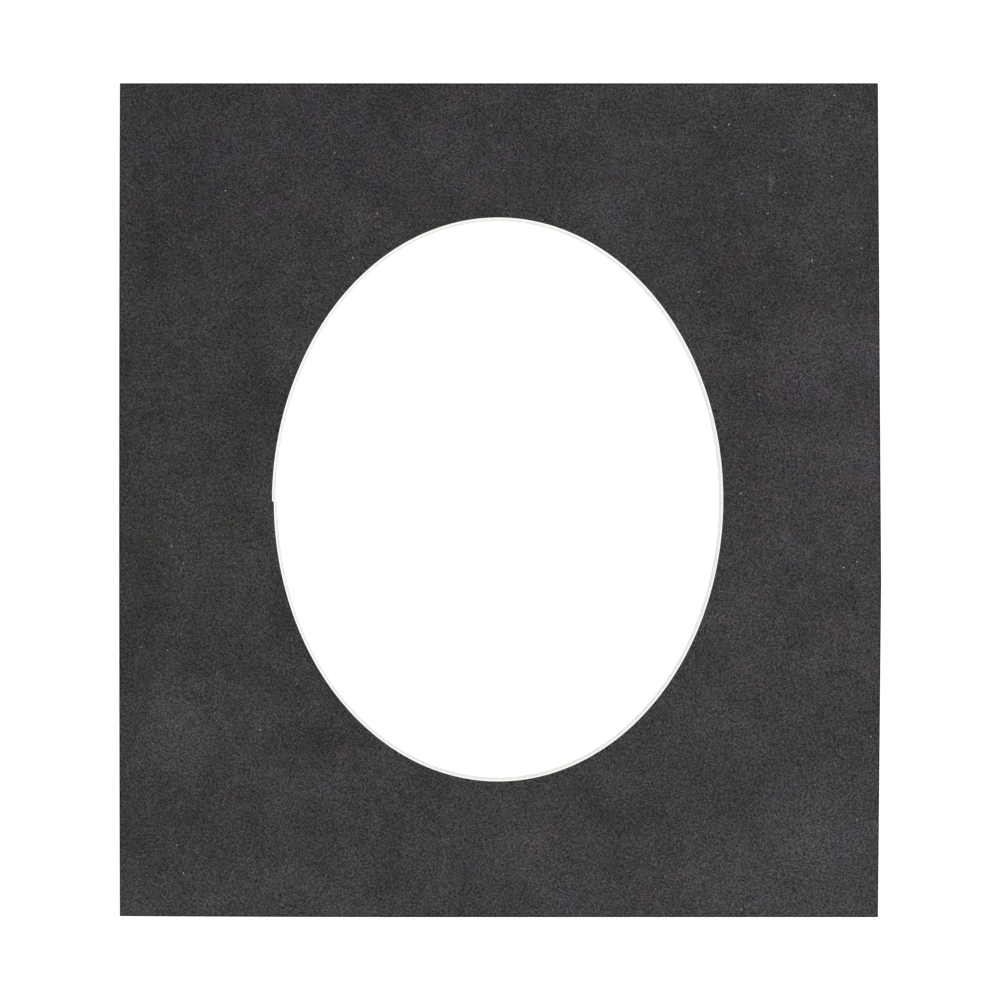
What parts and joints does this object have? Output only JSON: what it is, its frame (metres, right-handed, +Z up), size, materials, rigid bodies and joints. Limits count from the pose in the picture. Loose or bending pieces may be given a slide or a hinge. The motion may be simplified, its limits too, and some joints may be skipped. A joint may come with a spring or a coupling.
{
  "type": "oval picture mount",
  "caption": "Rectangular picture mount of dark suede board with an oval window, its slanted cut showing the pale core.",
  "frame": {"origin": "middle of the board's bounding box, on its back face", "axes": "the mount lies on its back: +X to the right and +Y to the top of the picture that it frames, +Z up through the board, out of its suede face"},
  "size_m": [0.2554, 0.2794, 0.0016],
  "materials": {
    "suede_facing": "matte",
    "pulp_core": "matte"
  },
  "bodies": {
    "root": {"facing_sheet": "suede_facing", "core_board": "pulp_core"}
  },
  "joints": []
}
